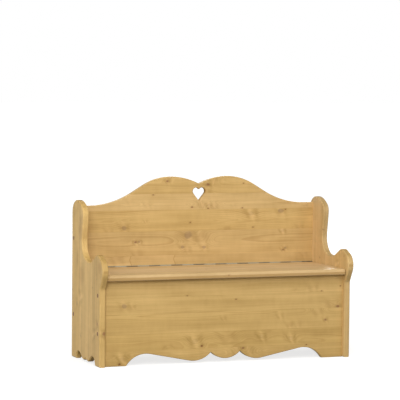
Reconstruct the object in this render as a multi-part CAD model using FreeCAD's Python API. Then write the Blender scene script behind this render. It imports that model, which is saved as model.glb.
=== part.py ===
import FreeCAD
import Part
import math
import os

# A storage settle in solid pine. Two shaped end panels carry a back panel with a
# heart cut out of it and a front panel with a scalloped foot. The seat is a lid
# on a full length pin hinge, and the chest under it has a floor on cleats.
#
# Millimetres. Seen from the front +X runs to the right, +Y runs from front to
# back and +Z is up. The origin is on the floor in the middle of the bench, half
# way between the arm scrolls and the rear edges of the end panels.

# Whole bench
overall_width = 1300.0
side_depth = 435.0
seat_height = 438.0

# Board thicknesses
side_thickness = 30.0
back_thickness = 27.0
front_thickness = 27.0
lid_thickness = 28.0

# Where the back and front panels stand between the end panels
back_recess = 14.0
front_recess = 20.0
back_bottom_height = 60.0

# Eased edges
side_bevel = 5.0
back_bevel = 2.5
front_bevel = 2.5
lid_end_bevel = 1.5
lid_nose_round = 16.0
lid_under_round = 5.0

# End panel: the arm with its scroll
scroll_reach = 40.0
scroll_radius = 63.0
scroll_above_seat = 19.0
scroll_hollow_radius = 26.0
scroll_start_below_seat = 73.0
arm_from_front = 48.0
arm_above_seat = 94.0
arm_radius = 56.0

# End panel: the dip behind the arm and the waist below the wing
dip_from_front = 173.0
dip_above_seat = 50.0
dip_radius = 110.0
waist_from_front = 277.0
waist_above_seat = 139.0
waist_radius = 86.0

# End panel: the wing
wing_above_seat = 335.0
wing_front = 259.0
wing_front_above_seat = 266.0
wing_front_radius = 50.0
wing_top_radius = 116.0
wing_top_flat = 12.0
wing_rear_radius = 64.0

# End panel: the scalloped foot
side_foot_length = 72.0
side_arch_rise = 39.0
side_arch_radius = 40.0
side_bump_from_middle = 32.5
side_bump_lift = 6.5
side_cusp_rise = 21.0

# Back panel: two humps that meet in a notch over the heart
hump_above_seat = 442.0
hump_from_middle = 150.0
hump_inner_radius = 322.0
hump_outer_radius = 270.0
shoulder_above_seat = 304.0
shoulder_from_middle = 572.0
shoulder_radius = 424.0
heart_tip_above_seat = 320.0
heart_height = 66.0
heart_lobe_radius = 18.0
heart_lobe_spacing = 31.0

# Front panel: the scalloped foot
front_foot_length = 110.0
front_arch_rise = 55.5
front_arch_radius = 116.0
front_bump_from_middle = 165.0
front_bump_lift = 11.5
front_cusp_from_middle = 76.0
front_cusp_rise = 51.0
front_middle_lift = 18.0

# Length of the straight that joins a foot to its arch, and the smallest hollow
# that the saw turns in where two swells meet
arch_lead_in = 1.0
notch_radius = 1.5

# Glue lines between boards. Those of the end panels are measured from the front.
# The others are shares of the panel's depth or height, and the back panel has
# one at the lower edge of its bearer, with shares of the height below that and
# of the height above the seat.
side_glue_from_front = [118.0, 234.0, 334.0]
lid_glue_shares = [0.245, 0.49, 0.735]
front_glue_shares = [0.173, 0.366, 0.598, 0.793]
back_low_glue_shares = [0.34, 0.67]
back_high_glue_shares = [0.118, 0.389, 0.627, 0.808]

# Seat lid
lid_overhang = 32.0
lid_end_gap = 2.0
batten_from_middle = 380.0
batten_width = 60.0
batten_thickness = 20.0
batten_chamfer = 8.0
batten_front_gap = 15.0
batten_back_gap = 12.0

# Hinge
barrel_radius = 2.5
pin_radius = 1.25
pin_clearance = 0.05
leaf_thickness = 1.0
leaf_width = 25.0
barrel_clearance = 0.3
knuckle_pitch = 60.0
knuckle_gap = 0.3
barrel_sides = 10

# Bearers under the lid and cleats under the chest floor
bearer_height = 40.0
back_bearer_depth = 30.0
side_bearer_depth = 22.0
floor_height = 85.0
floor_thickness = 10.0
floor_gap = 1.0
cleat_height = 22.0
cleat_depth = 20.0

# Fasteners
screw_fit = 0.05
screw_sides = 6
screw_taper = 2.0
screw_tip = 0.3
plug_radius = 10.0
plug_depth = 8.0
plug_sides = 16
front_plug_shares = [0.385, 0.83]
back_low_plug_share = 0.49
back_high_plug_share = 0.333
panel_screw = {"head": 4.5, "shank": 2.5, "length": 70.0}
bearer_screw = {"head": 4.0, "shank": 2.0, "length": 45.0}
batten_screw = {"head": 3.5, "shank": 1.75, "length": 35.0}
hinge_screw = {"head": 2.6, "shank": 1.3, "length": 16.0}
hinge_screw_count = 8
hinge_screw_inset = 45.0
long_row_count = 4
short_row_count = 2
row_inset = 70.0
batten_screw_count = 3
batten_screw_inset = 30.0

# Worked out from the sizes above
half_width = overall_width / 2
inner_half = half_width - side_thickness
side_front = -(side_depth + scroll_reach) / 2 + scroll_reach
side_back = side_front + side_depth
back_rear = side_back - back_recess
back_face = back_rear - back_thickness
front_face = side_front + front_recess
front_rear = front_face + front_thickness
lid_underside = seat_height - lid_thickness
lid_front = front_face - lid_overhang
bearer_bottom = lid_underside - bearer_height
hinge_offset = barrel_radius + barrel_clearance
hinge_y = back_face - hinge_offset
hinge_z = seat_height + barrel_radius
lid_rear = hinge_y - hinge_offset
lid_half = inner_half - lid_end_gap
back_top = seat_height + hump_above_seat
wing_top = seat_height + wing_above_seat
margin = 50.0
touching = 0.001

X_AXIS = FreeCAD.Vector(1, 0, 0)
Y_AXIS = FreeCAD.Vector(0, 1, 0)
Z_AXIS = FreeCAD.Vector(0, 0, 1)


# Outlines made of circles joined by their common tangents

def tangent_between(first, second):
    """Ends of the straight line that leaves one circle and meets the next.

    A circle is (across, up, radius). The outline runs anticlockwise: a positive
    radius bulges out of the wood, a negative one is hollowed into it, and a
    radius of nothing is a sharp corner. Circles that touch have one common point.
    """
    across = second[0] - first[0]
    up = second[1] - first[1]
    ratio = (second[2] - first[2]) / math.hypot(across, up)
    lean = math.asin(max(-1.0, min(1.0, ratio)))
    heading = math.atan2(up, across) - lean
    normal = (-math.sin(heading), math.cos(heading))
    leave = (first[0] - first[2] * normal[0], first[1] - first[2] * normal[1])
    meet = (second[0] - second[2] * normal[0], second[1] - second[2] * normal[1])
    if math.dist(leave, meet) < touching:
        common = meet if second[2] == 0 else leave
        return common, common
    return leave, meet


def middle_of_arc(circle, start, end):
    """Point half way along the arc that the outline takes round a circle."""
    across, up, radius = circle
    first = math.atan2(start[1] - up, start[0] - across)
    last = math.atan2(end[1] - up, end[0] - across)
    turn = (last - first) % (2 * math.pi)
    if radius < 0:
        turn -= 2 * math.pi
    angle = first + turn / 2
    return (across + abs(radius) * math.cos(angle), up + abs(radius) * math.sin(angle))


def outline_face(circles, place):
    """Closed face round the circles; place turns (across, up) into a 3-D point."""
    count = len(circles)
    lines = [tangent_between(circles[i], circles[(i + 1) % count]) for i in range(count)]
    edges = []
    for i, circle in enumerate(circles):
        start = lines[i - 1][1]
        end = lines[i][0]
        if abs(circle[2]) > 0:
            middle = middle_of_arc(circle, start, end)
            edges.append(Part.Arc(place(*start), place(*middle), place(*end)).toShape())
        if lines[i][0] != lines[i][1]:
            edges.append(Part.makeLine(place(*lines[i][0]), place(*lines[i][1])))
    return Part.Face(Part.Wire(edges))


def ease_edges(solid, bevel, axis, levels, keep=None):
    """Bevel the outline edges that lie in the faces at the given levels."""
    chosen = []
    for edge in solid.Edges:
        centre = edge.CenterOfMass
        spread = [vertex.Point.dot(axis) for vertex in edge.Vertexes] + [centre.dot(axis)]
        flat = any(max(abs(value - level) for value in spread) < touching for level in levels)
        if flat and (keep is None or keep(centre)):
            chosen.append(edge)
    return solid.makeChamfer(bevel, chosen)


def swell(lowest, cusp):
    """Circle that hangs down to its lowest point and passes through a cusp."""
    across = cusp[0] - lowest[0]
    rise = cusp[1] - lowest[1]
    radius = (across ** 2 + rise ** 2) / (2 * rise)
    return (lowest[0], lowest[1] + radius, radius)


def notch(across, neighbours, opens):
    """Small hollow where swelling circles meet; opens is 1 upwards, -1 downwards."""
    heights = []
    for middle, up, radius in neighbours:
        reach = math.sqrt((radius + notch_radius) ** 2 - (across - middle) ** 2)
        heights.append(opens * up + reach)
    return (across, opens * max(heights), -notch_radius)


def mirrored(circles):
    """The same circles on the other side of the middle, in reverse order."""
    return [(-across, up, radius) for across, up, radius in reversed(circles)]


def arch_and_foot(half_length, foot_length, rise, radius):
    """Hollow arch and the foot outside it, at the right end of a bottom edge."""
    foot_start = half_length - foot_length
    arch_half = math.sqrt(radius ** 2 - (radius - rise) ** 2)
    arch_middle = foot_start - arch_lead_in - arch_half
    arch = (arch_middle, rise - radius, -radius)
    return [arch, (foot_start, 0.0, 0.0), (half_length, 0.0, 0.0)]


# Fasteners

def turned_to(shape, direction):
    """Turn a shape made along +Z so that it points along a direction."""
    turn = FreeCAD.Rotation(Z_AXIS, direction)
    shape.Placement = FreeCAD.Placement(FreeCAD.Vector(0, 0, 0), turn)
    return shape


def ring_of_corners(radius, height, sides):
    """Corners of a regular flat-sided section at a height."""
    angles = [2 * math.pi * i / sides for i in range(sides)]
    return [FreeCAD.Vector(radius * math.cos(a), radius * math.sin(a), height) for a in angles]


def flat_face(corners):
    """Flat face through the corners."""
    return Part.Face(Part.makePolygon(corners + corners[:1]))


def flat_sided(stations, sides):
    """Rod with flat sides along +Z; each station is (corner radius, height)."""
    rings = [ring_of_corners(radius, height, sides) for radius, height in stations]
    faces = [flat_face(rings[0][::-1]), flat_face(rings[-1])]
    for low, high in zip(rings, rings[1:]):
        for i in range(sides):
            faces.append(flat_face([low[i - 1], low[i], high[i], high[i - 1]]))
    return Part.makeSolid(Part.makeShell(faces))


def screw_body(size, clearance):
    """Countersunk wood screw with its head at the origin, driven along +Z."""
    head = size["head"] + clearance
    shank = size["shank"] + clearance
    countersink = size["head"] - size["shank"]
    taper = size["length"] - screw_taper * size["shank"]
    tip = screw_tip * size["shank"] + clearance
    stations = [
        (head, 0.0),
        (shank, countersink),
        (shank, taper),
        (tip, size["length"] + clearance),
    ]
    return flat_sided(stations, screw_sides)


def screw_set(size, heads, direction, clearance=0.0):
    """The same screw at each head position, driven along one direction."""
    screws = []
    for head in heads:
        screw = turned_to(screw_body(size, clearance), direction)
        screw.translate(head)
        screws.append(screw)
    return screws


def drill(solid, size, heads, direction):
    """Cut the holes that a set of screws fills, with the screw fit round them."""
    return solid.cut(Part.makeCompound(screw_set(size, heads, direction, screw_fit)))


def spaced(low, high, count):
    """Positions spread evenly from low to high."""
    return [low + (high - low) * i / (count - 1) for i in range(count)]


# Panels are made whole and then sawn along their glue lines

def at_shares(low, high, shares):
    """Positions at the given shares of the way from low to high."""
    return [low + share * (high - low) for share in shares]


def saw(panel, glue_lines, axis):
    """Boards of a panel, cut apart at its glue lines along an axis."""
    box = panel.BoundBox
    low = FreeCAD.Vector(box.XMin - margin, box.YMin - margin, box.ZMin - margin)
    high = FreeCAD.Vector(box.XMax + margin, box.YMax + margin, box.ZMax + margin)
    size = high - low
    limits = [low.dot(axis)] + glue_lines + [high.dot(axis)]
    boards = []
    for start, end in zip(limits, limits[1:]):
        corner = low + axis * (start - low.dot(axis))
        reach = size + axis * (end - start - size.dot(axis))
        slab = Part.makeBox(reach.x, reach.y, reach.z, corner)
        boards.append(panel.common(slab))
    return boards


# End panels

def side_circles():
    """Outline of an end panel, from the front foot round to the scroll."""
    middle = side_depth / 2
    bump = swell((side_bump_from_middle, side_bump_lift), (0.0, side_cusp_rise))
    right = [bump] + arch_and_foot(middle, side_foot_length, side_arch_rise, side_arch_radius)
    bottom = mirrored(right) + [notch(0.0, [bump], -1)] + right
    foot = [(across + middle, up, radius) for across, up, radius in bottom]
    rear_middle = side_depth - wing_rear_radius
    top_middle = rear_middle - wing_top_flat
    seat = seat_height
    upper = [
        (rear_middle, wing_top - wing_rear_radius, wing_rear_radius),
        (top_middle, wing_top - wing_top_radius, wing_top_radius),
        (wing_front + wing_front_radius, seat + wing_front_above_seat, wing_front_radius),
        (waist_from_front - waist_radius, seat + waist_above_seat, -waist_radius),
        (dip_from_front, seat + dip_above_seat + dip_radius, -dip_radius),
        (arm_from_front, seat + arm_above_seat - arm_radius, arm_radius),
        (scroll_radius - scroll_reach, seat + scroll_above_seat, scroll_radius),
        (-scroll_hollow_radius, seat - scroll_start_below_seat, -scroll_hollow_radius),
    ]
    return foot + upper


def plug_heads(heights, y, outside):
    """Centres of the plugs of one panel on an end panel's outer face."""
    return [FreeCAD.Vector(outside, y, z) for z in heights]


def panel_screw_points(sign):
    """Plug centres on one end panel: the front panel's, then the back panel's."""
    outside = sign * half_width
    front_line = front_face + front_thickness / 2
    back_line = back_face + back_thickness / 2
    front_heights = at_shares(0.0, lid_underside, front_plug_shares)
    back_heights = at_shares(back_bottom_height, bearer_bottom, [back_low_plug_share])
    back_heights += at_shares(seat_height, back_top, [back_high_plug_share])
    front = plug_heads(front_heights, front_line, outside)
    return front + plug_heads(back_heights, back_line, outside)


def sunk(points, sign):
    """Panel screw heads, a plug's depth below the end panel's outer face."""
    return [point - X_AXIS * (sign * plug_depth) for point in points]


def side_panel(sign):
    """End panel with its rounded outline and the plugged screw holes."""
    low = -half_width if sign < 0 else inner_half

    def place(across, up):
        return FreeCAD.Vector(low, side_front + across, up)

    panel = outline_face(side_circles(), place).extrude(X_AXIS * side_thickness)
    panel = ease_edges(panel, side_bevel, X_AXIS, [low, low + side_thickness])
    panel = panel.cut(Part.makeCompound(plug_bodies(sign, screw_fit)))
    heads = sunk(panel_screw_points(sign), sign)
    panel = drill(panel, panel_screw, heads, X_AXIS * -sign)
    return drill(panel, bearer_screw, side_bearer_heads(sign), X_AXIS * sign)


def plug_bodies(sign, clearance):
    """Flat-sided wooden plugs over the panel screws of one end panel."""
    stations = [(plug_radius + clearance, 0.0), (plug_radius + clearance, plug_depth)]
    plugs = []
    for seat in sunk(panel_screw_points(sign), sign):
        plug = turned_to(flat_sided(stations, plug_sides), X_AXIS * sign)
        plug.translate(seat)
        plugs.append(plug)
    return plugs


# Back panel

def back_circles():
    """Outline of the back panel, anticlockwise from its lower left corner."""
    shoulder_up = seat_height + shoulder_above_seat
    hump = (hump_from_middle, back_top - hump_inner_radius, hump_inner_radius)
    right = [
        (inner_half, shoulder_up, 0.0),
        (shoulder_from_middle, shoulder_up + shoulder_radius, -shoulder_radius),
        (hump_from_middle, back_top - hump_outer_radius, hump_outer_radius),
        hump,
    ]
    base = [(-inner_half, back_bottom_height, 0.0), (inner_half, back_bottom_height, 0.0)]
    return base + right + [notch(0.0, [hump], 1)] + mirrored(right)


def heart_face(tip_up):
    """Heart with its tip at the given height: two lobes and straight flanks."""
    lobe_up = tip_up + heart_height - heart_lobe_radius
    lobe_middle = heart_lobe_spacing / 2
    cleft = lobe_up + math.sqrt(heart_lobe_radius ** 2 - lobe_middle ** 2)
    circles = [
        (0.0, tip_up + notch_radius, notch_radius),
        (lobe_middle, lobe_up, heart_lobe_radius),
        (0.0, cleft, 0.0),
        (-lobe_middle, lobe_up, heart_lobe_radius),
    ]
    return outline_face(circles, back_place)


def back_place(across, up):
    """Point on the front face of the back panel."""
    return FreeCAD.Vector(across, back_face, up)


def back_panel():
    """Back panel with its humps, heart and every screw hole."""
    panel = outline_face(back_circles(), back_place).extrude(Y_AXIS * back_thickness)
    heart = heart_face(seat_height + heart_tip_above_seat).extrude(Y_AXIS * back_thickness)
    panel = panel.cut(heart)

    def is_top_edge(middle):
        return middle.z > seat_height and abs(middle.x) < inner_half - touching

    panel = ease_edges(panel, back_bevel, Y_AXIS, [back_face, back_rear], is_top_edge)
    for sign in (-1, 1):
        heads = sunk(panel_screw_points(sign), sign)
        panel = drill(panel, panel_screw, heads, X_AXIS * -sign)
    panel = drill(panel, bearer_screw, back_bearer_heads(), Y_AXIS)
    return drill(panel, hinge_screw, hinge_screw_heads(1), Y_AXIS)


# Front panel

def front_circles():
    """Outline of the front panel, anticlockwise from its lower left corner."""
    cusp = (front_cusp_from_middle, front_cusp_rise)
    bump = swell((front_bump_from_middle, front_bump_lift), cusp)
    middle = swell((0.0, front_middle_lift), cusp)
    right = [notch(front_cusp_from_middle, [middle, bump], -1), bump]
    right += arch_and_foot(inner_half, front_foot_length, front_arch_rise, front_arch_radius)
    top = [(inner_half, lid_underside, 0.0), (-inner_half, lid_underside, 0.0)]
    return mirrored(right) + [middle] + right + top


def front_panel():
    """Front panel with its scalloped lower edge and every screw hole."""

    def place(across, up):
        return FreeCAD.Vector(across, front_face, up)

    def is_foot_edge(middle):
        return middle.z < front_arch_rise + touching and abs(middle.x) < inner_half - touching

    panel = outline_face(front_circles(), place).extrude(Y_AXIS * front_thickness)
    panel = ease_edges(panel, front_bevel, Y_AXIS, [front_face, front_rear], is_foot_edge)
    for sign in (-1, 1):
        heads = sunk(panel_screw_points(sign), sign)
        panel = drill(panel, panel_screw, heads, X_AXIS * -sign)
    return panel


# Seat lid

def lid_panel():
    """Seat lid: rounded nose, eased ends, holes for the hinge and the battens."""
    circles = [
        (lid_front + lid_under_round, lid_underside + lid_under_round, lid_under_round),
        (lid_rear, lid_underside, 0.0),
        (lid_rear, seat_height, 0.0),
        (lid_front + lid_nose_round, seat_height - lid_nose_round, lid_nose_round),
    ]

    def place(across, up):
        return FreeCAD.Vector(-lid_half, across, up)

    def is_not_rear(middle):
        return middle.y < lid_rear - touching

    panel = outline_face(circles, place).extrude(X_AXIS * 2 * lid_half)
    panel = ease_edges(panel, lid_end_bevel, X_AXIS, [-lid_half, lid_half], is_not_rear)
    panel = drill(panel, hinge_screw, hinge_screw_heads(-1), -Y_AXIS)
    for sign in (-1, 1):
        panel = drill(panel, batten_screw, batten_screw_heads(sign), Z_AXIS)
    return panel


def batten_limits():
    """Front and rear ends of the battens, clear of the front panel and bearer."""
    front = front_rear + batten_front_gap
    return front, back_face - back_bearer_depth - batten_back_gap


def batten_screw_heads(sign):
    """Screw heads on the underside of one batten."""
    front, rear = batten_limits()
    depths = spaced(front + batten_screw_inset, rear - batten_screw_inset, batten_screw_count)
    under = lid_underside - batten_thickness
    return [FreeCAD.Vector(sign * batten_from_middle, y, under) for y in depths]


def lid_batten(sign):
    """Batten across the underside of the lid, which keeps its boards flat."""
    front, rear = batten_limits()
    low = lid_underside - batten_thickness
    start = sign * batten_from_middle - batten_width / 2
    profile = [
        (front, lid_underside),
        (front, low + batten_chamfer),
        (front + batten_chamfer, low),
        (rear - batten_chamfer, low),
        (rear, low + batten_chamfer),
        (rear, lid_underside),
        (front, lid_underside),
    ]
    points = [FreeCAD.Vector(start, y, z) for y, z in profile]
    batten = Part.Face(Part.makePolygon(points)).extrude(X_AXIS * batten_width)
    return drill(batten, batten_screw, batten_screw_heads(sign), Z_AXIS)


# Hinge: two leaves with knuckles that take turns along one pin

def knuckle_layout():
    """Length of one knuckle's place and how many there are, an odd number."""
    pairs = int(2 * lid_half / knuckle_pitch / 2)
    count = 2 * pairs + 1
    return 2 * lid_half / count, count


def hinge_screw_heads(side):
    """Screw heads in one leaf; side is 1 on the back panel and -1 on the lid."""
    face = hinge_y + side * (hinge_offset - leaf_thickness)
    height = seat_height - lid_thickness / 2
    reach = lid_half - hinge_screw_inset
    return [FreeCAD.Vector(x, face, height) for x in spaced(-reach, reach, hinge_screw_count)]


def barrel_rod(radius, start, length):
    """Flat sided rod along the hinge line."""
    rod = turned_to(flat_sided([(radius, 0.0), (radius, length)], barrel_sides), X_AXIS)
    rod.translate(start)
    return rod


def hinge_leaf(side, first):
    """One leaf with every second knuckle, starting from the first or second."""
    pitch, count = knuckle_layout()
    length = pitch - knuckle_gap
    near = hinge_y + min(side * hinge_offset, side * (hinge_offset - leaf_thickness))
    top = hinge_z - hinge_offset
    plate_height = leaf_width - hinge_offset
    corner = FreeCAD.Vector(-lid_half, near, top - plate_height)
    bore_radius = (pin_radius + pin_clearance) / math.cos(math.pi / barrel_sides)
    leaf = Part.makeBox(2 * lid_half, leaf_thickness, plate_height, corner)
    for i in range(first, count, 2):
        start = FreeCAD.Vector(-lid_half + i * pitch + knuckle_gap / 2, hinge_y, hinge_z)
        tab_corner = FreeCAD.Vector(start.x, near, top)
        tab = Part.makeBox(length, leaf_thickness, hinge_offset, tab_corner)
        barrel = barrel_rod(barrel_radius, start, length)
        bore = barrel_rod(bore_radius, start, length)
        leaf = leaf.fuse(barrel.fuse(tab).cut(bore))
    return drill(leaf.removeSplitter(), hinge_screw, hinge_screw_heads(side), Y_AXIS * side)


def hinge_pin():
    """Wire that runs the whole length of the hinge."""
    start = FreeCAD.Vector(-lid_half, hinge_y, hinge_z)
    return Part.makeCylinder(pin_radius, 2 * lid_half, start, X_AXIS)


# Bearers under the lid, and the chest floor with its cleats

def bearer_row_height():
    """Height of the screws in the bearers."""
    return lid_underside - bearer_height / 2


def back_bearer_heads():
    """Screw heads on the front of the back bearer."""
    reach = inner_half - side_bearer_depth - row_inset
    face = back_face - back_bearer_depth
    row = spaced(-reach, reach, long_row_count)
    return [FreeCAD.Vector(x, face, bearer_row_height()) for x in row]


def side_bearer_heads(sign):
    """Screw heads on the inner face of one side bearer."""
    face = sign * (inner_half - side_bearer_depth)
    row = spaced(front_rear + row_inset, back_face - row_inset, short_row_count)
    return [FreeCAD.Vector(face, y, bearer_row_height()) for y in row]


def back_bearer():
    """Rail on the back panel that carries the rear of the lid."""
    half = inner_half - side_bearer_depth
    corner = FreeCAD.Vector(-half, back_face - back_bearer_depth, bearer_bottom)
    rail = Part.makeBox(2 * half, back_bearer_depth, bearer_height, corner)
    return drill(rail, bearer_screw, back_bearer_heads(), Y_AXIS)


def side_bearer(sign):
    """Rail on an end panel that carries the end of the lid."""
    low = -inner_half if sign < 0 else inner_half - side_bearer_depth
    corner = FreeCAD.Vector(low, front_rear, bearer_bottom)
    rail = Part.makeBox(side_bearer_depth, back_face - front_rear, bearer_height, corner)
    return drill(rail, bearer_screw, side_bearer_heads(sign), X_AXIS * sign)


def long_cleat(low_y):
    """Cleat glued to the front or back panel, under the chest floor."""
    half = inner_half - cleat_depth
    corner = FreeCAD.Vector(-half, low_y, floor_height - cleat_height)
    return Part.makeBox(2 * half, cleat_depth, cleat_height, corner)


def side_cleat(sign):
    """Cleat glued to an end panel, under the chest floor."""
    low = -inner_half if sign < 0 else inner_half - cleat_depth
    corner = FreeCAD.Vector(low, front_rear, floor_height - cleat_height)
    return Part.makeBox(cleat_depth, back_face - front_rear, cleat_height, corner)


def chest_floor():
    """Thin floor of the chest, laid loose on the cleats."""
    half = inner_half - floor_gap
    depth = back_face - front_rear - 2 * floor_gap
    corner = FreeCAD.Vector(-half, front_rear + floor_gap, floor_height)
    return Part.makeBox(2 * half, depth, floor_thickness, corner)


# Every piece under its own name

def numbered(name, boards):
    """Name the boards of a panel in the order in which they lie."""
    return {f"{name}_{i + 1}": board for i, board in enumerate(boards)}


def panel_boards():
    """Boards of the end panels, back panel, front panel and lid."""
    pieces = {}
    side_lines = [side_front + distance for distance in side_glue_from_front]
    back_lines = at_shares(back_bottom_height, bearer_bottom, back_low_glue_shares)
    back_lines += [bearer_bottom] + at_shares(seat_height, back_top, back_high_glue_shares)
    front_lines = at_shares(0.0, lid_underside, front_glue_shares)
    lid_lines = at_shares(lid_front, lid_rear, lid_glue_shares)
    for name, sign in (("left_side", -1), ("right_side", 1)):
        boards = saw(side_panel(sign), side_lines, Y_AXIS)
        pieces.update(numbered(name + "_board", boards))
    pieces.update(numbered("back_board", saw(back_panel(), back_lines, Z_AXIS)))
    pieces.update(numbered("front_board", saw(front_panel(), front_lines, Z_AXIS)))
    pieces.update(numbered("lid_board", saw(lid_panel(), lid_lines, Y_AXIS)))
    return pieces


def side_parts(name, sign):
    """Pieces that come once at each end of the bench."""
    inward = X_AXIS * -sign
    heads = sunk(panel_screw_points(sign), sign)
    return {
        f"{name}_plugs": Part.makeCompound(plug_bodies(sign, 0.0)),
        f"{name}_panel_screws": Part.makeCompound(screw_set(panel_screw, heads, inward)),
        f"seat_bearer_{name}": side_bearer(sign),
        f"floor_cleat_{name}": side_cleat(sign),
        f"lid_batten_{name}": lid_batten(sign),
    }


def screw_groups():
    """Fasteners inside the chest and in the hinge."""
    bearer = screw_set(bearer_screw, back_bearer_heads(), Y_AXIS)
    batten = []
    for sign in (-1, 1):
        bearer += screw_set(bearer_screw, side_bearer_heads(sign), X_AXIS * sign)
        batten += screw_set(batten_screw, batten_screw_heads(sign), Z_AXIS)
    groups = {
        "bearer_screws": bearer,
        "lid_batten_screws": batten,
        "hinge_screws_back": screw_set(hinge_screw, hinge_screw_heads(1), Y_AXIS),
        "hinge_screws_lid": screw_set(hinge_screw, hinge_screw_heads(-1), -Y_AXIS),
    }
    return {name: Part.makeCompound(screws) for name, screws in groups.items()}


def all_pieces():
    """Every named piece of the bench."""
    pieces = panel_boards()
    pieces.update(side_parts("left", -1))
    pieces.update(side_parts("right", 1))
    pieces.update(screw_groups())
    pieces["floor_cleat_front"] = long_cleat(front_rear)
    pieces["floor_cleat_back"] = long_cleat(back_face - cleat_depth)
    pieces["seat_bearer_back"] = back_bearer()
    pieces["chest_floor"] = chest_floor()
    pieces["hinge_leaf_back"] = hinge_leaf(1, 0)
    pieces["hinge_leaf_lid"] = hinge_leaf(-1, 1)
    pieces["hinge_pin"] = hinge_pin()
    return pieces


os.makedirs("parts", exist_ok=True)
for node, shape in all_pieces().items():
    solids = shape.Solids
    print(node, len(solids), round(shape.Volume), shape.isValid())
    shape.exportStep(f"parts/{node}.step")
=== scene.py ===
import math
import random
import bpy
from mathutils import Matrix, Vector


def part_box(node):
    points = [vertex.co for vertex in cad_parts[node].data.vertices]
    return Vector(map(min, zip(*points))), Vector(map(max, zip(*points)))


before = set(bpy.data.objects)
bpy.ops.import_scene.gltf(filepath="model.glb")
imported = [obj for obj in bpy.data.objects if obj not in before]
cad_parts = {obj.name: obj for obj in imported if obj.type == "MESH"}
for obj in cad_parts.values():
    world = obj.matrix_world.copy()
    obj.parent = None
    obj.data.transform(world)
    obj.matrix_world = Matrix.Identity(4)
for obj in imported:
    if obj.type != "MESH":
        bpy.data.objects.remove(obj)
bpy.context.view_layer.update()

# Everything is in metres, in the frame of the bench: X runs along it, Y from front to back.

# Camera
camera_place = Vector((-3.90499, -9.90566, 1.45245))
camera_yaw = math.radians(21.155)
camera_pitch = math.radians(3.648)
camera_roll = math.radians(0.505)
camera_reach = 500.0
focal_length = 196.12
sensor_width = 36.0

# Light
sky_light = 0.22
white = (1.0, 1.0, 1.0)
lamp_aim = Vector((0.0, 0.0, 0.4))
lamps = {
    "key_light": {"place": (-3.2, -5.2, 2.7), "size": 2.5, "power": 172.0},
    "top_light": {"place": (-0.5, -3.2, 5.2), "size": 4.0, "power": 165.0},
    "left_light": {"place": (-7.0, -1.5, 2.5), "size": 3.0, "power": 145.0},
    "right_light": {"place": (5.0, -6.0, 3.0), "size": 2.0, "power": 105.0},
    "rear_light": {"place": (3.0, 7.0, 4.0), "size": 3.0, "power": 260.0},
}

# Floor, lifted towards white for the rays that see it, and more so far away
floor_colour = (0.36, 0.36, 0.35)
floor_half_width = 60.0
floor_roughness = 0.9
floor_lift_near = 0.76
floor_lift_far = 1.00
near_distance = 1.5
far_distance = 9.0

# Pine under clear varnish, colours in linear light
early_wood = (0.590, 0.390, 0.148)
late_wood = (0.400, 0.228, 0.070)
knot_halo = (0.345, 0.190, 0.058)
grey_heart = (0.290, 0.180, 0.085)
red_heart = (0.210, 0.080, 0.030)
varnish_roughness = 0.48
varnish_gloss = 0.12
varnish_relief = {"depth": 0.0003, "strength": 0.35}
end_grain_shade = -0.34
green_per_warmth = -0.03
blue_per_warmth = -0.22
green_power = 1.12
blue_power = 1.55

# Bare planed pine
bare_wood = (0.660, 0.490, 0.270)
bare_late_wood = (0.520, 0.340, 0.160)
bare_roughness = 0.62
bare_relief = {"depth": 0.0004, "strength": 0.5}
bare_pith_across = 0.01
bare_pith_through = -0.045

# Where the pith of a varnished board lies from its middle, which swings from board to board
pith_across_swing = 0.09
pith_across_turn = 2.4
pith_through = 0.050
pith_through_swing = 0.020
pith_through_turn = 1.7

# Growth rings, and the darker lines that show from afar. Rise, drop and where the lines
# show are the ends of smooth steps.
ring_pitch = 0.0031
ring_changes = 70.0
ring_unevenness = 2.2
ring_rise = (0.20, 0.90)
ring_drop = (0.92, 1.0)
ring_strength = 0.5
ring_strength_swing = 0.55
ring_strength_step = 3.7
ring_share = 0.50
line_pitch = 0.023
line_changes = 1.9
line_unevenness = 1.6
line_rise = (0.78, 0.93)
line_drop = (0.94, 1.0)
line_shows = (-0.02, 0.30)
line_share = 0.34

# Noises in the wood: changes per metre along and across the grain, detail and swing
wood_noises = {
    "sway": (1.7, 6.0, 2.0, 0.012),
    "ripple": (9.0, 45.0, 1.0, 0.0012),
    "line_place": (3.2, 12.0, 1.0, 1.0),
    "streak": (2.6, 120.0, 2.0, 1.0),
    "wide_streak": (1.5, 38.0, 1.0, 1.0),
    "fibre": (28.0, 1500.0, 1.0, 1.0),
    "blotch": (5.0, 15.0, 1.0, 1.0),
    # Bands across the grain: the wood's curly figure, with its sheen painted in as colour
    "curl_and_sheen": (42.0, 16.0, 1.0, 1.0),
}
noise_seed_step = 17.3

# How much of each there is in the shade, the roughness and the relief of the wood
# The bands across the grain shade the colour: partly real figure, partly painted sheen
pattern_shades = {"streak": 0.09, "wide_streak": 0.16, "blotch": 0.17, "curl_and_sheen": 0.055}
fibre_shade = 0.05
roughness_parts = {"fibre": 0.03, "late_wood": -0.05, "blotch": 0.05}
relief_parts = {"late_wood": 0.5, "fibre": 0.18, "heart": -0.6}

# Shape of a knot, in its own radii, and its noises in changes per metre
knot_length = 1.3
knot_reach = 3.0
knot_fade = -0.25
knot_noise = (45.0, 65.0, 900.0)
knot_noise_detail = 1.0
knot_unevenness = 0.45
heart_rim = (0.55, 1.15)
halo_rim = (0.6, 2.6)
heart_reddens = (0.64, 0.84)
bulge_along = 3.0
bulge_across = 2.0
bulge_height = 0.9

# Disturbed grain beside a knot: a pale fan with a darker stroke on each side
fan_noise = (30.0, 22.0, 700.0)
fan_sway = 0.9
fan_slant = 0.30
fan_lift = 0.8
fan_along = 0.85
fan_across = 2.8
fan_shade = 0.20
stroke_away = 1.5
stroke_opening = 0.25
stroke_along = 0.75
stroke_across = 2.4
stroke_shade = -0.15

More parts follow.
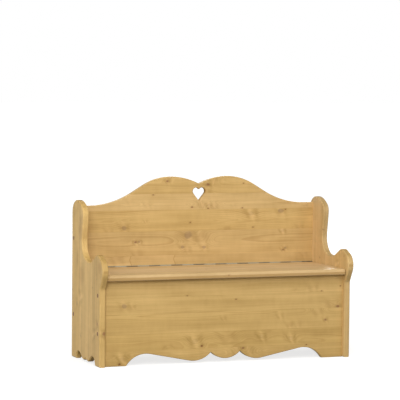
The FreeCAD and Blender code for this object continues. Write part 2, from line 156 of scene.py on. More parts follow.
# Boards of each panel, from the bottom up or from the front to the back:
# lightness, and how warm the colour is
back_boards = [
    (0.98, 0.0), (0.98, 0.1), (0.97, 0.2), (1.00, -0.7),
    (1.00, -0.5), (0.98, 0.0), (1.05, -0.5), (0.98, 0.0),
]
front_boards = [(0.96, 0.2), (0.97, 0.3), (0.99, 0.2), (1.03, 0.1), (1.02, 0.1)]
left_side_boards = [(1.01, 0.2), (1.15, 0.3), (1.16, 0.3), (1.10, 0.6)]
right_side_boards = [(1.03, -0.5), (1.02, -1.0), (1.01, -1.1), (1.01, -1.1)]
lid_boards = [(1.02, -1.3), (1.05, -1.9), (1.06, -2.0), (0.99, -1.4)]
back_contrast = 0.9
front_contrast = 0.85
left_contrast = 1.2
right_contrast = 1.0
lid_contrast = 0.8

# Seeds of the first board of each panel and of the first rail, and the step to the next
first_seeds = {
    "back": 1.0, "front": 21.0, "left": 41.0, "right": 61.0, "lid": 81.0, "rails": 101.0,
}
board_seed_step = 1.37

# Glue lines between boards, and the joints of the board that is joined end to end
glue_line_width = 0.0006
glue_line_darkness = 0.60
joined_board = "back_board_4"
end_joints = [-0.353, -0.122]
joint_width = 0.0040
joint_darkness = 0.65
joint_changes = 18.0
joint_swing = 0.020
joint_seed_step = 3.1
joint_shade_step = -0.03

# How each kind of knot shows: dark heart, brown halo, disturbed grain beside it
knot_kinds = {
    "pin": (0.85, 0.35, 0.15),
    "brown": (0.78, 0.42, 0.70),
    "grey": (0.62, 0.18, 0.55),
    "flame": (0.20, 0.10, 1.05),
    "cloud": (0.00, 0.20, 0.45),
    "shade": (0.00, 0.42, 0.10),
}

# Knots on each face that shows: the two places in the face, radius and kind
back_knots = [
    (-0.170, 0.857, 0.006, "brown"), (-0.244, 0.791, 0.004, "pin"),
    (0.045, 0.839, 0.008, "brown"), (0.041, 0.804, 0.010, "cloud"),
    (0.067, 0.866, 0.014, "cloud"), (0.238, 0.843, 0.003, "pin"),
    (0.020, 0.742, 0.013, "cloud"), (0.052, 0.735, 0.008, "flame"),
    (0.079, 0.729, 0.010, "cloud"), (-0.038, 0.727, 0.0045, "pin"),
    (0.048, 0.719, 0.004, "pin"), (0.232, 0.719, 0.004, "pin"),
    (0.280, 0.690, 0.014, "flame"), (0.443, 0.701, 0.013, "grey"),
    (0.468, 0.708, 0.004, "pin"), (0.291, 0.621, 0.004, "pin"),
    (-0.394, 0.629, 0.011, "grey"), (-0.473, 0.613, 0.009, "cloud"),
    (-0.047, 0.651, 0.004, "pin"), (-0.283, 0.660, 0.004, "cloud"),
    (-0.056, 0.587, 0.019, "grey"), (0.012, 0.570, 0.015, "cloud"),
    (-0.335, 0.558, 0.006, "brown"), (-0.317, 0.560, 0.006, "grey"),
    (0.453, 0.600, 0.007, "flame"), (-0.087, 0.529, 0.008, "grey"),
    (-0.062, 0.515, 0.010, "cloud"), (0.027, 0.526, 0.009, "grey"),
    (0.457, 0.503, 0.005, "brown"), (0.469, 0.512, 0.006, "grey"),
    (-0.326, 0.496, 0.012, "cloud"), (-0.434, 0.468, 0.014, "cloud"),
]
front_knots = [
    (0.051, 0.303, 0.004, "pin"), (0.460, 0.344, 0.011, "cloud"),
    (0.505, 0.330, 0.004, "pin"), (0.484, 0.230, 0.013, "cloud"),
    (0.592, 0.251, 0.009, "brown"), (0.565, 0.262, 0.014, "cloud"),
    (0.527, 0.187, 0.006, "brown"), (0.188, 0.117, 0.010, "flame"),
    (0.343, 0.104, 0.010, "flame"), (0.426, 0.068, 0.004, "pin"),
    (0.008, 0.118, 0.017, "cloud"), (0.090, 0.064, 0.006, "brown"),
    (0.058, 0.048, 0.012, "cloud"), (0.122, 0.048, 0.012, "cloud"),
    (-0.202, 0.327, 0.004, "pin"), (-0.521, 0.287, 0.011, "grey"),
    (-0.480, 0.283, 0.006, "cloud"), (-0.014, 0.213, 0.006, "cloud"),
    (-0.125, 0.082, 0.006, "pin"), (-0.160, 0.105, 0.014, "flame"),
    (-0.544, 0.010, 0.006, "pin"), (-0.530, 0.035, 0.012, "flame"),
    (0.606, 0.352, 0.003, "pin"),
]
left_knots = [
    (0.0925, 0.676, 0.012, "shade"), (0.1015, 0.625, 0.018, "shade"),
    (0.1375, 0.491, 0.016, "shade"), (0.0885, 0.412, 0.022, "shade"),
    (-0.1900, 0.474, 0.012, "shade"), (0.1535, 0.272, 0.010, "grey"),
    (0.0965, 0.305, 0.014, "flame"), (-0.1585, 0.204, 0.007, "brown"),
    (-0.1135, 0.152, 0.010, "flame"), (-0.0815, 0.370, 0.004, "pin"),
    (0.1425, 0.755, 0.010, "cloud"), (0.0925, 0.118, 0.006, "grey"),
]
left_edge_knots = [(-0.631, 0.494, 0.004, "pin"), (-0.629, 0.161, 0.009, "brown")]
right_knots = [
    (0.0765, 0.612, 0.0025, "pin"), (0.1035, 0.468, 0.004, "pin"),
    (-0.1095, 0.457, 0.008, "flame"), (-0.1850, 0.500, 0.004, "pin"),
]
right_edge_knots = [(0.634, 0.704, 0.006, "cloud")]
lid_edge_knots = [(0.000, 0.424, 0.004, "pin")]
scroll_to_edge = 0.04

# Knots strewn over the other faces: seed, how many, and between which heights or depths
chance_kinds = ("pin", "grey", "cloud", "brown", "flame")
chance_radii = (0.004, 0.009)
side_depths = (-0.17, 0.22)
rear_chance = {"seed": 5, "count": 14, "limits": (0.10, 0.80)}
chest_front_chance = {"seed": 6, "count": 7, "limits": (0.08, 0.40)}
left_inner_chance = {"seed": 7, "count": 6, "limits": (0.05, 0.75)}
right_outer_chance = {"seed": 8, "count": 10, "limits": (0.05, 0.75)}
lid_top_chance = {"seed": 9, "count": 5, "limits": (-0.15, 0.18)}
lid_underside_chance = {"seed": 10, "count": 14, "limits": (-0.18, 0.18)}

# Dark plugs
plug_light = (0.300, 0.150, 0.055)
plug_dark = (0.160, 0.072, 0.030)
plug_pores = 900.0
plug_pore_share = 0.6
plug_blotches = 140.0
plug_blotch_share = 0.5
plug_roughness = 0.40
plug_roughness_swing = 0.15
plug_relief = {"depth": 0.0003, "strength": 0.4}

# Drawn steel: dark and light colour, and roughness; the back leaf's is a darker copy as painted
# shade
bright_steel = ((0.29, 0.27, 0.20), (0.40, 0.37, 0.28), 0.50)
painted_shade_steel = ((0.17, 0.15, 0.11), (0.28, 0.25, 0.18), 0.52)
steel_marks = (6.0, 900.0, 900.0)
steel_marks_detail = 2.0
steel_marks_swing = 0.5
steel_roughness_swing = 0.12
steel_relief = {"depth": 0.0002, "strength": 0.2}


# Small steps of a node tree

def feed(tree, value, socket):
    """Gives a socket another node's output, or a number or colour."""
    if isinstance(value, bpy.types.NodeSocket):
        tree.links.new(value, socket)
    else:
        socket.default_value = value


def calculate(tree, operation, *values, clamp=False):
    """One step of arithmetic."""
    node = tree.nodes.new("ShaderNodeMath")
    node.operation = operation
    node.use_clamp = clamp
    for value, socket in zip(values, node.inputs):
        feed(tree, value, socket)
    return node.outputs[0]


def total(tree, *values):
    """Sum of all the values."""
    result = values[0]
    for value in values[1:]:
        result = calculate(tree, "ADD", result, value)
    return result


def product(tree, *values):
    """Product of all the values."""
    result = values[0]
    for value in values[1:]:
        result = calculate(tree, "MULTIPLY", result, value)
    return result


def weighted(tree, values, weights):
    """Sum of the values that have a weight, each times its weight."""
    parts = [product(tree, values[name], weight) for name, weight in weights.items()]
    return total(tree, *parts)


def root_of_squares(tree, *values):
    """How far a place with these coordinates lies from the origin."""
    squares = [product(tree, value, value) for value in values]
    return calculate(tree, "SQRT", total(tree, *squares))


def ramp(tree, value, start, end, low=0.0, high=1.0):
    """Smooth step from low to high while the value goes from start to end."""
    node = tree.nodes.new("ShaderNodeMapRange")
    node.interpolation_type = "SMOOTHSTEP"
    settings = {"Value": value, "From Min": start, "From Max": end, "To Min": low, "To Max": high}
    for name, setting in settings.items():
        feed(tree, setting, node.inputs[name])
    return node.outputs["Result"]


def rise_and_drop(tree, value, rise, drop):
    """From nothing up to one over the rise, and back down over the drop."""
    return product(tree, ramp(tree, value, *rise), ramp(tree, value, *drop, 1.0, 0.0))


def bell(tree, value, width):
    """One in the middle, falling smoothly to nothing at some widths away."""
    share = calculate(tree, "DIVIDE", value, width)
    return calculate(tree, "EXPONENT", product(tree, share, share, -1.0))


def vector(tree, x, y, z):
    """A vector of three values."""
    node = tree.nodes.new("ShaderNodeCombineXYZ")
    for value, socket in zip((x, y, z), node.inputs):
        feed(tree, value, socket)
    return node.outputs[0]


def scaled(tree, values, factors):
    """A vector of three values, each times its own factor."""
    parts = [product(tree, value, factor) for value, factor in zip(values, factors)]
    return vector(tree, *parts)


def centred_swing(tree, node, swing):
    """What a noise gives, moved about zero, with this swing."""
    centred = calculate(tree, "SUBTRACT", node.outputs["Fac"], 0.5)
    return calculate(tree, "MULTIPLY", centred, 2.0 * swing)


def noise(tree, place, detail, swing=1.0):
    """Noise about zero that swings as far as given."""
    node = tree.nodes.new("ShaderNodeTexNoise")
    feed(tree, place, node.inputs["Vector"])
    node.inputs["Scale"].default_value = 1.0
    node.inputs["Detail"].default_value = detail
    return centred_swing(tree, node, swing)


def line_noise(tree, place, swing):
    """Noise about zero along one value."""
    node = tree.nodes.new("ShaderNodeTexNoise")
    node.noise_dimensions = "1D"
    feed(tree, place, node.inputs["W"])
    node.inputs["Scale"].default_value = 1.0
    return centred_swing(tree, node, swing)


def mixed(tree, share, first, second, blend="MIX"):
    """A mix of two colours."""
    node = tree.nodes.new("ShaderNodeMix")
    node.data_type = "RGBA"
    node.blend_type = blend
    feed(tree, share, node.inputs["Factor"])
    for value, name in ((first, "A_Color"), (second, "B_Color")):
        socket = next(s for s in node.inputs if s.identifier == name)
        feed(tree, (*value, 1.0) if isinstance(value, tuple) else value, socket)
    return next(s for s in node.outputs if s.identifier == "Result_Color")


def bump(tree, height, depth, strength):
    """Normal of a surface with small relief."""
    node = tree.nodes.new("ShaderNodeBump")
    node.inputs["Strength"].default_value = strength
    node.inputs["Distance"].default_value = depth
    feed(tree, height, node.inputs["Height"])
    return node.outputs["Normal"]


def start_group(name, inputs, outputs):
    """A node group with these sockets: its tree, its inputs and its outputs by name."""
    tree = bpy.data.node_groups.new(name, "ShaderNodeTree")
    for socket in inputs:
        tree.interface.new_socket(socket, in_out="INPUT", socket_type="NodeSocketFloat")
    for socket, kind in outputs:
        tree.interface.new_socket(socket, in_out="OUTPUT", socket_type=kind)
    given = tree.nodes.new("NodeGroupInput").outputs
    made = tree.nodes.new("NodeGroupOutput").inputs
    return tree, given, made


def use_group(tree, group, values):
    """Places a group and feeds its inputs by name."""
    node = tree.nodes.new("ShaderNodeGroup")
    node.node_tree = group
    for name, value in values.items():
        feed(tree, value, node.inputs[name])
    return node.outputs


def new_material(name):
    """An empty material: its tree and its surface shader."""
    material = bpy.data.materials.new(name)
    material.use_nodes = True
    tree = material.node_tree
    shader = next(n for n in tree.nodes if n.type == "BSDF_PRINCIPLED")
    return material, tree, shader


# Wood

def knot_group():
    """A knot: its dark heart, its halo, and the grain that it pushes aside."""
    tree, given, made = start_group(
        "knot",
        ["Along", "Across", "Deep", "Radius"],
        [("Bulge", "NodeSocketFloat"), ("Heart", "NodeSocketFloat"),
         ("Halo", "NodeSocketFloat"), ("Flanks", "NodeSocketFloat")],
    )
    radius = given["Radius"]
    place = (given["Along"], given["Across"], radius)
    turned_place = (given["Across"], given["Along"], radius)
    uneven = noise(tree, scaled(tree, place, knot_noise), knot_noise_detail)
    swirl = noise(tree, scaled(tree, turned_place, fan_noise), knot_noise_detail)

    along = calculate(tree, "DIVIDE", given["Along"], product(tree, radius, knot_length))
    across = calculate(tree, "DIVIDE", given["Across"], radius)
    deep = calculate(tree, "DIVIDE", given["Deep"], product(tree, radius, knot_reach))
    distance = calculate(tree, "MULTIPLY_ADD", uneven, knot_unevenness,
                         root_of_squares(tree, along, across, deep))
    near = calculate(tree, "EXPONENT", product(tree, deep, deep, knot_fade))

    bulge = product(tree, bell(tree, along, bulge_along), bell(tree, across, bulge_across),
                    near, radius, bulge_height)
    feed(tree, bulge, made["Bulge"])
    feed(tree, ramp(tree, distance, *heart_rim, 1.0, 0.0), made["Heart"])
    feed(tree, ramp(tree, distance, *halo_rim, 1.0, 0.0), made["Halo"])

    aside = calculate(tree, "MULTIPLY_ADD", swirl, fan_sway, along)
    aside = calculate(tree, "MULTIPLY_ADD", across, fan_slant, aside)
    lifted = calculate(tree, "MULTIPLY_ADD", uneven, fan_lift, across)
    spread = calculate(tree, "MULTIPLY_ADD", lifted, stroke_opening, stroke_away)
    to_stroke = calculate(tree, "SUBTRACT", calculate(tree, "ABSOLUTE", aside), spread)
    strokes = product(tree, bell(tree, to_stroke, stroke_along),
                      bell(tree, lifted, stroke_across), stroke_shade)
    fan = product(tree, bell(tree, aside, fan_along), bell(tree, lifted, fan_across), fan_shade)
    feed(tree, product(tree, calculate(tree, "ADD", strokes, fan), near), made["Flanks"])
    return tree


def grain_noises(tree, grain, seed):
    """The noises of the wood, each laid along the grain."""
    length, width, depth = grain
    laid = {}
    for name, (along, across, detail, swing) in wood_noises.items():
        shift = calculate(tree, "MULTIPLY", seed, noise_seed_step)
        place = vector(
            tree,
            calculate(tree, "MULTIPLY_ADD", length, along, shift),
            calculate(tree, "MULTIPLY_ADD", width, across, shift),
            calculate(tree, "MULTIPLY", depth, across),
        )
        laid[name] = noise(tree, place, detail, swing)
    return laid


def late_wood_share(tree, radius, shifted, seed):
    """Rings of uneven width: pale early wood that darkens to a sharp line of late wood."""
    ring = calculate(tree, "MULTIPLY_ADD", radius, 1.0 / ring_pitch,
                     line_noise(tree, shifted, ring_unevenness))
    whole_ring = calculate(tree, "FLOOR", ring)
    strength_place = calculate(tree, "MULTIPLY_ADD", whole_ring, ring_strength_step, seed)
    strength = calculate(tree, "ADD", ring_strength,
                         line_noise(tree, strength_place, ring_strength_swing))
    part = calculate(tree, "FRACT", ring)
    return product(tree, rise_and_drop(tree, part, ring_rise, ring_drop), strength)


def dark_line_share(tree, radius, shifted, line_place):
    """Now and then a darker line that shows from afar."""
    line_shift = line_noise(tree, calculate(tree, "MULTIPLY", shifted, line_changes),
                            line_unevenness)
    coarse = calculate(tree, "MULTIPLY_ADD", radius, 1.0 / line_pitch, line_shift)
    part = calculate(tree, "FRACT", coarse)
    return product(tree, rise_and_drop(tree, part, line_rise, line_drop),
                   ramp(tree, line_place, *line_shows))


def shaded(tree, colour, shade, warmth):
    """The colour lighter or darker, where darker wood is also the warmer one."""
    green = calculate(tree, "MULTIPLY_ADD", warmth, green_per_warmth, 1.0)
    blue = calculate(tree, "MULTIPLY_ADD", warmth, blue_per_warmth, 1.0)
    green = product(tree, calculate(tree, "POWER", shade, green_power), green)
    blue = product(tree, calculate(tree, "POWER", shade, blue_power), blue)
    return mixed(tree, 1.0, colour, vector(tree, shade, green, blue), "MULTIPLY")


def pine_group(name, early, late):
    """Pine with growth rings round a pith that lies outside the board."""
    tree, given, made = start_group(
        name,
        ["Along", "Across", "Through", "Seed", "Pith Across", "Pith Through",
         "Bulge", "Heart", "Halo", "Flanks", "Lightness", "Warmth", "Contrast", "End"],
        [("Colour", "NodeSocketColor"), ("Gloss", "NodeSocketFloat"),
         ("Height", "NodeSocketFloat")],
    )
    seed = given["Seed"]
    laid = grain_noises(tree, (given["Along"], given["Across"], given["Through"]), seed)

    # Distance from the pith, swaying along the board as the trunk did
    from_pith_across = calculate(tree, "SUBTRACT", given["Across"], given["Pith Across"])
    from_pith_through = calculate(tree, "SUBTRACT", given["Through"], given["Pith Through"])
    radius = total(tree, root_of_squares(tree, from_pith_across, from_pith_through),
                   laid["sway"], laid["ripple"], given["Bulge"])
    shifted = calculate(tree, "MULTIPLY_ADD", radius, ring_changes, seed)
    laid["late_wood"] = late_wood_share(tree, radius, shifted, seed)
    laid["heart"] = given["Heart"]
    line = dark_line_share(tree, radius, shifted, laid["line_place"])

    dark_share = total(tree, product(tree, laid["late_wood"], ring_share),
                       product(tree, line, line_share))
    colour = mixed(tree, dark_share, early, late)
    colour = mixed(tree, given["Halo"], colour, knot_halo)
    heart_colour = mixed(tree, ramp(tree, given["Heart"], *heart_reddens),
                         grey_heart, red_heart)
    colour = mixed(tree, given["Heart"], colour, heart_colour)
    pattern = weighted(tree, laid, pattern_shades)
    shade = total(tree, product(tree, pattern, given["Contrast"]),
                  product(tree, laid["fibre"], fibre_shade),
                  product(tree, given["End"], end_grain_shade),
                  given["Flanks"], given["Lightness"])

    feed(tree, shaded(tree, colour, shade, given["Warmth"]), made["Colour"])
    feed(tree, weighted(tree, laid, roughness_parts), made["Gloss"])
    feed(tree, weighted(tree, laid, relief_parts), made["Height"])
    return tree


def knots_on(level, branch, places):
    """Knots of a face at this level of the axis along which their branches grew."""
    branch_axis = "XYZ".index(branch)
    knots = []
    for first, second, radius, kind in places:
        centre = [first, second]
        centre.insert(branch_axis, level)
        knots.append({"centre": Vector(centre), "branch": branch_axis,
                      "radius": radius, "kind": kind})
    return knots


def knots_by_chance(chance, level, branch, first_limits):
    """Knots strewn over a face that the picture doesn't show."""
    draw = random.Random(chance["seed"])
    places = []
    for index in range(chance["count"]):
        first = draw.uniform(*first_limits)
        second = draw.uniform(*chance["limits"])
        radius = draw.uniform(*chance_radii)
        places.append((first, second, radius, chance_kinds[index % len(chance_kinds)]))
    return knots_on(level, branch, places)


def knot_marks(tree, split, knots, low, high, grain_axis, width_axis):
    """What the knots of one board add up to, from those inside the board's box."""
    marks = {"Bulge": 0.0, "Heart": 0.0, "Halo": 0.0, "Flanks": 0.0}
    for knot in knots:
        centre = knot["centre"]
        inside = low[width_axis] <= centre[width_axis] <= high[width_axis]
        if not inside:
            continue
        offsets = [calculate(tree, "SUBTRACT", split.outputs[axis], centre[axis])
                   for axis in range(3)]
        face_axis = 3 - grain_axis - knot["branch"]
        shown = use_group(tree, knot_tree, {
            "Along": offsets[grain_axis], "Across": offsets[face_axis],
            "Deep": offsets[knot["branch"]], "Radius": knot["radius"]})
        heart, halo, flanks = knot_kinds[knot["kind"]]
        marks["Bulge"] = calculate(tree, "ADD", shown["Bulge"], marks["Bulge"])
        marks["Heart"] = calculate(tree, "MAXIMUM", product(tree, shown["Heart"], heart),
                                   marks["Heart"])
        marks["Halo"] = calculate(tree, "MAXIMUM", product(tree, shown["Halo"], halo),
                                  marks["Halo"])
        marks["Flanks"] = calculate(tree, "ADD", product(tree, shown["Flanks"], flanks),
                                    marks["Flanks"])
    return marks


def end_grain_share(tree, coordinates, grain_axis):
    """How far a surface faces along the grain, where the wood drinks more varnish."""
    normal = tree.nodes.new("ShaderNodeSeparateXYZ")
    feed(tree, coordinates.outputs["Normal"], normal.inputs[0])
    facing = normal.outputs[grain_axis]
    return product(tree, facing, facing)


def place_in_board(tree, node_name, axes):
    """Node coordinates, and the place along, across and through a board from its middle."""
    grain_axis, width_axis, depth_axis = axes
    low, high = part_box(node_name)
    middle = (low + high) / 2
    coordinates = tree.nodes.new("ShaderNodeTexCoord")
    split = tree.nodes.new("ShaderNodeSeparateXYZ")
    feed(tree, coordinates.outputs["Object"], split.inputs[0])
    place = {
        "Along": split.outputs[grain_axis],
        "Across": calculate(tree, "SUBTRACT", split.outputs[width_axis], middle[width_axis]),
        "Through": calculate(tree, "SUBTRACT", split.outputs[depth_axis], middle[depth_axis]),
    }
    return coordinates, split, place


def axis_numbers(letters):
    """Axes of the grain, the width and the thickness, from their letters."""
    return tuple("XYZ".index(letter) for letter in letters)


def joined_ends(tree, along, across, seed, lightness, joints):
    """Seed and lightness that change at each end joint, and the darkness of its line."""
    line = 0.0
    wave_place = vector(tree, 0.0, product(tree, across, joint_changes), seed)
    wave = noise(tree, wave_place, 0.0, joint_swing)
    for joint in joints:
        beyond = calculate(tree, "SUBTRACT", along, calculate(tree, "ADD", wave, joint))
        passed = calculate(tree, "GREATER_THAN", beyond, 0.0)
        seed = calculate(tree, "ADD", product(tree, passed, joint_seed_step), seed)
        lightness = calculate(tree, "MULTIPLY_ADD", passed, joint_shade_step, lightness)
        near = ramp(tree, calculate(tree, "ABSOLUTE", beyond), 0.0, joint_width,
                    joint_darkness, 0.0)
        line = calculate(tree, "MAXIMUM", near, line)
    return seed, lightness, line


def board_material(node_name, letters, seed, look, contrast, knots, joints=()):
    """Varnished pine of one board. Letters are its axes of grain, width and thickness."""
    material, tree, shader = new_material("pine_" + node_name)
    axes = axis_numbers(letters)
    grain_axis, width_axis = axes[:2]
    low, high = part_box(node_name)
    lightness, warmth = look
    coordinates, split, place = place_in_board(tree, node_name, axes)
    marks = knot_marks(tree, split, knots, low, high, grain_axis, width_axis)
    board_seed, board_lightness, joint_line = joined_ends(
        tree, place["Along"], split.outputs[width_axis], seed, lightness, joints)

    # The heart side faces forward on one board and backward on the next
    side = -1.0 if int(seed) % 2 else 1.0
    end_share = end_grain_share(tree, coordinates, grain_axis)
    pine = use_group(tree, varnished_pine, {
        **place, "Seed": board_seed,
        "Pith Across": pith_across_swing * math.sin(pith_across_turn * seed),
        "Pith Through": side * (pith_through
                                + pith_through_swing * math.cos(pith_through_turn * seed)),
        "Lightness": board_lightness, "Warmth": warmth, "Contrast": contrast,
        "End": end_share, **marks})

    half_width = (high[width_axis] - low[width_axis]) / 2
    edge = calculate(tree, "SUBTRACT", half_width,
                     calculate(tree, "ABSOLUTE", place["Across"]))
    glue = ramp(tree, edge, 0.0, glue_line_width, glue_line_darkness, 0.0)
    seam = calculate(tree, "MAXIMUM", glue, joint_line)
    feed(tree, mixed(tree, seam, pine["Colour"], late_wood), shader.inputs["Base Color"])
    feed(tree, calculate(tree, "ADD", pine["Gloss"], varnish_roughness),
         shader.inputs["Roughness"])
    feed(tree, calculate(tree, "MULTIPLY_ADD", end_share, -varnish_gloss, varnish_gloss),
         shader.inputs["Specular IOR Level"])
    feed(tree, bump(tree, pine["Height"], **varnish_relief), shader.inputs["Normal"])
    return material


def planed_wood(node_name, letters, seed):
    """Bare planed pine of the hidden rails."""
    material, tree, shader = new_material("planed_" + node_name)
    place = place_in_board(tree, node_name, axis_numbers(letters))[-1]
    pine = use_group(tree, bare_pine, {
        **place, "Seed": seed, "Pith Across": bare_pith_across,
        "Pith Through": bare_pith_through, "Lightness": 1.0, "Contrast": 1.0})
    feed(tree, pine["Colour"], shader.inputs["Base Color"])
    feed(tree, calculate(tree, "ADD", pine["Gloss"], bare_roughness),
         shader.inputs["Roughness"])
    feed(tree, bump(tree, pine["Height"], **bare_relief), shader.inputs["Normal"])
    return material


# Plugs and steel

def plug_wood():
    """End grain of the dark plugs."""
    material, tree, shader = new_material("dark_plug_wood")
    place = tree.nodes.new("ShaderNodeTexCoord").outputs["Object"]
    pores = tree.nodes.new("ShaderNodeTexNoise")
    feed(tree, place, pores.inputs["Vector"])
    pores.inputs["Scale"].default_value = plug_pores
    blotch = tree.nodes.new("ShaderNodeTexNoise")
    feed(tree, place, blotch.inputs["Vector"])
    blotch.inputs["Scale"].default_value = plug_blotches
    share = total(tree, product(tree, pores.outputs["Fac"], plug_pore_share),
                  product(tree, blotch.outputs["Fac"], plug_blotch_share))
    roughness = calculate(tree, "MULTIPLY_ADD", pores.outputs["Fac"], plug_roughness_swing,
                          plug_roughness)
    feed(tree, mixed(tree, share, plug_light, plug_dark), shader.inputs["Base Color"])
    feed(tree, roughness, shader.inputs["Roughness"])
    shader.inputs["Specular IOR Level"].default_value = varnish_gloss
    feed(tree, bump(tree, pores.outputs["Fac"], **plug_relief), shader.inputs["Normal"])
    return material


def metal(name, dark, light, roughness):
    """Drawn steel with fine marks along X."""
    material, tree, shader = new_material(name)
    stretch = tree.nodes.new("ShaderNodeVectorMath")
    stretch.operation = "MULTIPLY"
    feed(tree, tree.nodes.new("ShaderNodeTexCoord").outputs["Object"], stretch.inputs[0])
    stretch.inputs[1].default_value = steel_marks
    marks = noise(tree, stretch.outputs[0], steel_marks_detail, steel_marks_swing)
    share = calculate(tree, "ADD", marks, 0.5, clamp=True)
    feed(tree, mixed(tree, share, dark, light), shader.inputs["Base Color"])
    shader.inputs["Metallic"].default_value = 1.0
    feed(tree, calculate(tree, "MULTIPLY_ADD", marks, steel_roughness_swing, roughness),
         shader.inputs["Roughness"])
    feed(tree, bump(tree, marks, **steel_relief), shader.inputs["Normal"])
    return material


# The bench

def dress(node_name, material):
    """Gives a node of the bench its material."""
    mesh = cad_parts[node_name].data
    if not mesh.materials:
        mesh.materials.append(material)
    for index in range(len(mesh.materials)):
        mesh.materials[index] = material


def dress_panel(prefix, letters, first_seed, boards, contrast, knots):
    """Dresses each board of a panel in its own piece of pine."""
    for index, look in enumerate(boards):
        node_name = prefix + str(index + 1)
        seed = first_seed + board_seed_step * index
        joints = end_joints if node_name == joined_board else ()
        dress(node_name, board_material(node_name, letters, seed, look, contrast, knots, joints))


def dress_back_and_front():
    """The back panel and the front panel."""
    back_low, back_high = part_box("back_board_4")
    length = (back_low.x, back_high.x)
    back = knots_on(back_low.y, "Y", back_knots)
    back += knots_by_chance(rear_chance, back_high.y, "Y", length)
    dress_panel("back_board_", "XZY", first_seeds["back"], back_boards, back_contrast, back)

    front_low, front_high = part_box("front_board_3")
    front = knots_on(front_low.y, "Y", front_knots)
    front += knots_by_chance(chest_front_chance, front_high.y, "Y", length)
    dress_panel("front_board_", "XZY", first_seeds["front"], front_boards, front_contrast,
                front)


def dress_ends():
    """The left and the right end panel, with the knots of their front edges."""
    scroll_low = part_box("left_side_board_1")[0]
    edge_level = scroll_low.y + scroll_to_edge

    left_low, left_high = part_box("left_side_board_2")
    left = knots_on(left_low.x, "X", left_knots)
    left += knots_on(edge_level, "Y", left_edge_knots)
    left += knots_by_chance(left_inner_chance, left_high.x, "X", side_depths)
    dress_panel("left_side_board_", "ZYX", first_seeds["left"], left_side_boards,
                left_contrast, left)

    right_low, right_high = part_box("right_side_board_2")
    right = knots_on(right_low.x, "X", right_knots)
    right += knots_on(edge_level, "Y", right_edge_knots)
    right += knots_by_chance(right_outer_chance, right_high.x, "X", side_depths)
    dress_panel("right_side_board_", "ZYX", first_seeds["right"], right_side_boards,
                right_contrast, right)


def dress_lid():
    """The seat lid, seen from above and, when it is open, from below."""
    back_low, back_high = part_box("back_board_4")
    length = (back_low.x, back_high.x)
    lid_low, lid_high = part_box("lid_board_1")
    lid = knots_on(lid_low.y, "Y", lid_edge_knots)
    lid += knots_by_chance(lid_top_chance, lid_high.z, "Z", length)
    lid += knots_by_chance(lid_underside_chance, lid_low.z, "Z", length)
    dress_panel("lid_board_", "XYZ", first_seeds["lid"], lid_boards, lid_contrast, lid)


def dress_rails():
    """Battens, bearers, cleats and chest floor."""
    rails = {
        "lid_batten_left": "YXZ", "lid_batten_right": "YXZ",
        "seat_bearer_back": "XZY", "seat_bearer_left": "YZX", "seat_bearer_right": "YZX",
        "floor_cleat_front": "XZY", "floor_cleat_back": "XZY",
        "floor_cleat_left": "YZX", "floor_cleat_right": "YZX",
        "chest_floor": "XYZ",
    }
    for index, (node_name, letters) in enumerate(rails.items()):
        seed = first_seeds["rails"] + board_seed_step * index
        dress(node_name, planed_wood(node_name, letters, seed))


def dress_fittings():
    """Plugs, hinge and screws."""
    plugs = plug_wood()
    for node_name in ("left_plugs", "right_plugs"):
        dress(node_name, plugs)
    bright = metal("bright_steel", *bright_steel)
    for node_name in ("hinge_leaf_lid", "hinge_pin", "left_panel_screws",
                      "right_panel_screws", "bearer_screws", "lid_batten_screws",
                      "hinge_screws_back", "hinge_screws_lid"):
        dress(node_name, bright)
    # The back leaf takes the darker copy of the steel: painted shade between the knuckles
    dress("hinge_leaf_back", metal("painted_shade_steel", *painted_shade_steel))


# The studio

def seen_directly(tree):
    """One for camera, glossy and transmission rays, and zero for diffuse ones."""
    path = tree.nodes.new("ShaderNodeLightPath").outputs
    seen = calculate(tree, "MAXIMUM", path["Is Camera Ray"], path["Is Glossy Ray"])
    return calculate(tree, "MAXIMUM", seen, path["Is Transmission Ray"])


def make_sky():
    """Even soft light, with plain white to look at."""
    world = bpy.data.worlds.new("studio")
    bpy.context.scene.world = world
    world.use_nodes = True
    tree = world.node_tree
    background = next(n for n in tree.nodes if n.type == "BACKGROUND")
    background.inputs["Color"].default_value = (*white, 1.0)
    strength = calculate(tree, "MULTIPLY_ADD", seen_directly(tree), 1.0 - sky_light, sky_light)
    feed(tree, strength, background.inputs["Strength"])


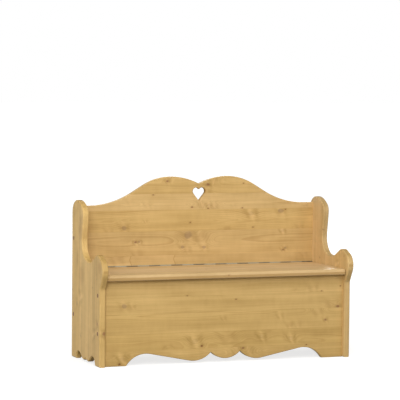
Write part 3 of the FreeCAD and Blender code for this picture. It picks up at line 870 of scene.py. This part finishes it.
def make_floor():
    """A pale floor that keeps the shadow of the bench."""
    reach = floor_half_width
    mesh = bpy.data.meshes.new("studio_floor")
    corners = [(-reach, -reach, 0), (reach, -reach, 0), (reach, reach, 0), (-reach, reach, 0)]
    mesh.from_pydata(corners, [], [(0, 1, 2, 3)])
    floor = bpy.data.objects.new("studio_floor", mesh)
    bpy.context.scene.collection.objects.link(floor)
    material, tree, shader = new_material("studio_floor")
    shader.inputs["Base Color"].default_value = (*floor_colour, 1.0)
    shader.inputs["Roughness"].default_value = floor_roughness
    shader.inputs["Specular IOR Level"].default_value = 0.0
    shader.inputs["Emission Color"].default_value = (*white, 1.0)
    distance = tree.nodes.new("ShaderNodeVectorMath")
    distance.operation = "LENGTH"
    feed(tree, tree.nodes.new("ShaderNodeTexCoord").outputs["Object"], distance.inputs[0])
    lift = ramp(tree, distance.outputs["Value"], near_distance, far_distance,
                floor_lift_near, floor_lift_far)
    feed(tree, product(tree, seen_directly(tree), lift), shader.inputs["Emission Strength"])
    mesh.materials.append(material)


def make_lamps():
    """Large soft lamps, all turned to the bench."""
    for name, lamp in lamps.items():
        area = bpy.data.lights.new(name, "AREA")
        area.size = lamp["size"]
        area.energy = lamp["power"]
        light = bpy.data.objects.new(name, area)
        light.location = lamp["place"]
        aim = lamp_aim - light.location
        light.rotation_euler = aim.to_track_quat("-Z", "Y").to_euler()
        bpy.context.scene.collection.objects.link(light)


def make_camera():
    """The camera of the picture: turned, tilted down a little and rolled."""
    camera = bpy.data.cameras.new("camera")
    camera.sensor_width = sensor_width
    camera.lens = focal_length
    camera.clip_end = camera_reach
    viewer = bpy.data.objects.new("camera", camera)
    viewer.matrix_world = (
        Matrix.Translation(camera_place)
        @ Matrix.Rotation(-camera_yaw, 4, "Z")
        @ Matrix.Rotation(math.radians(90) - camera_pitch, 4, "X")
        @ Matrix.Rotation(camera_roll, 4, "Z")
    )
    bpy.context.scene.collection.objects.link(viewer)
    bpy.context.scene.camera = viewer


knot_tree = knot_group()
varnished_pine = pine_group("varnished_pine", early_wood, late_wood)
bare_pine = pine_group("bare_pine", bare_wood, bare_late_wood)

dress_back_and_front()
dress_ends()
dress_lid()
dress_rails()
dress_fittings()
make_sky()
make_floor()
make_lamps()
make_camera()
bpy.context.scene.view_settings.view_transform = "Standard"
